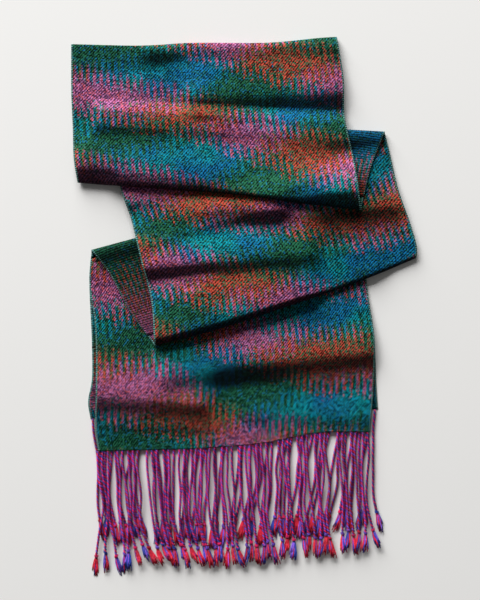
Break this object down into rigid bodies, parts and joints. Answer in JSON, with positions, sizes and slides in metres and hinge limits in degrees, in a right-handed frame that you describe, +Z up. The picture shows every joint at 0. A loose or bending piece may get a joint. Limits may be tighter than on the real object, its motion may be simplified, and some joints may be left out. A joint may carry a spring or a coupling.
{
  "type": "folded scarf with knotted fringe",
  "caption": "Long handwoven twill scarf, doubled and laid in a flat zigzag on a surface, with twisted and knotted fringe at the bottom end.",
  "frame": {"origin": "middle of the footprint, on the surface that the scarf lies on", "axes": "+Z up from the surface, +Y up the page towards the top fold, away from the fringe, +X to the right as seen from above"},
  "size_m": [0.3452, 0.5397, 0.02],
  "materials": {
    "twill_cloth": "twill with a soft sheen, bands of purple, blue, green and rust that shade into each other in vertical ticks",
    "reverse_cloth": "the other face of the twill, ribbed across, green, teal and dark rust",
    "fringe_yarn": "twisted yarn in crimson, magenta and blue, with frayed tufts"
  },
  "bodies": {
    "root": {"top_stretch": "twill_cloth", "middle_stretch": "twill_cloth", "end_stretch": "twill_cloth", "right_turn": "reverse_cloth", "left_turn": "reverse_cloth", "under_end": "twill_cloth", "hidden_layers": "reverse_cloth", "fringe_end": "fringe_yarn", "fringe_under": "fringe_yarn"}
  },
  "joints": []
}
